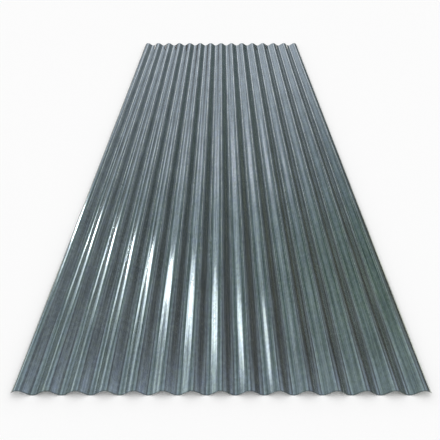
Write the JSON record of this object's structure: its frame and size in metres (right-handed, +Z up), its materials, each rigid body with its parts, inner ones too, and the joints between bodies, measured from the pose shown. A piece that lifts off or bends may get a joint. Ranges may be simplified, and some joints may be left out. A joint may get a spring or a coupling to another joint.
{
  "type": "corrugated metal sheet",
  "caption": "Flat-lying sheet of thin galvanised steel, roll formed into even rounded waves along its length, with plain cut ends and edges.",
  "frame": {"origin": "centre of the footprint, on the plane that the undersides of the troughs rest on", "axes": "+Z up, the weather face; +Y along the waves; +X across the waves, with a crest along X = 0"},
  "size_m": [1.1, 3.048, 0.018],
  "materials": {
    "galvanised_steel": "hot-dip galvanised, dull spangle with fine streaks along the waves"
  },
  "bodies": {
    "root": {"corrugated_sheet": "galvanised_steel"}
  },
  "joints": []
}
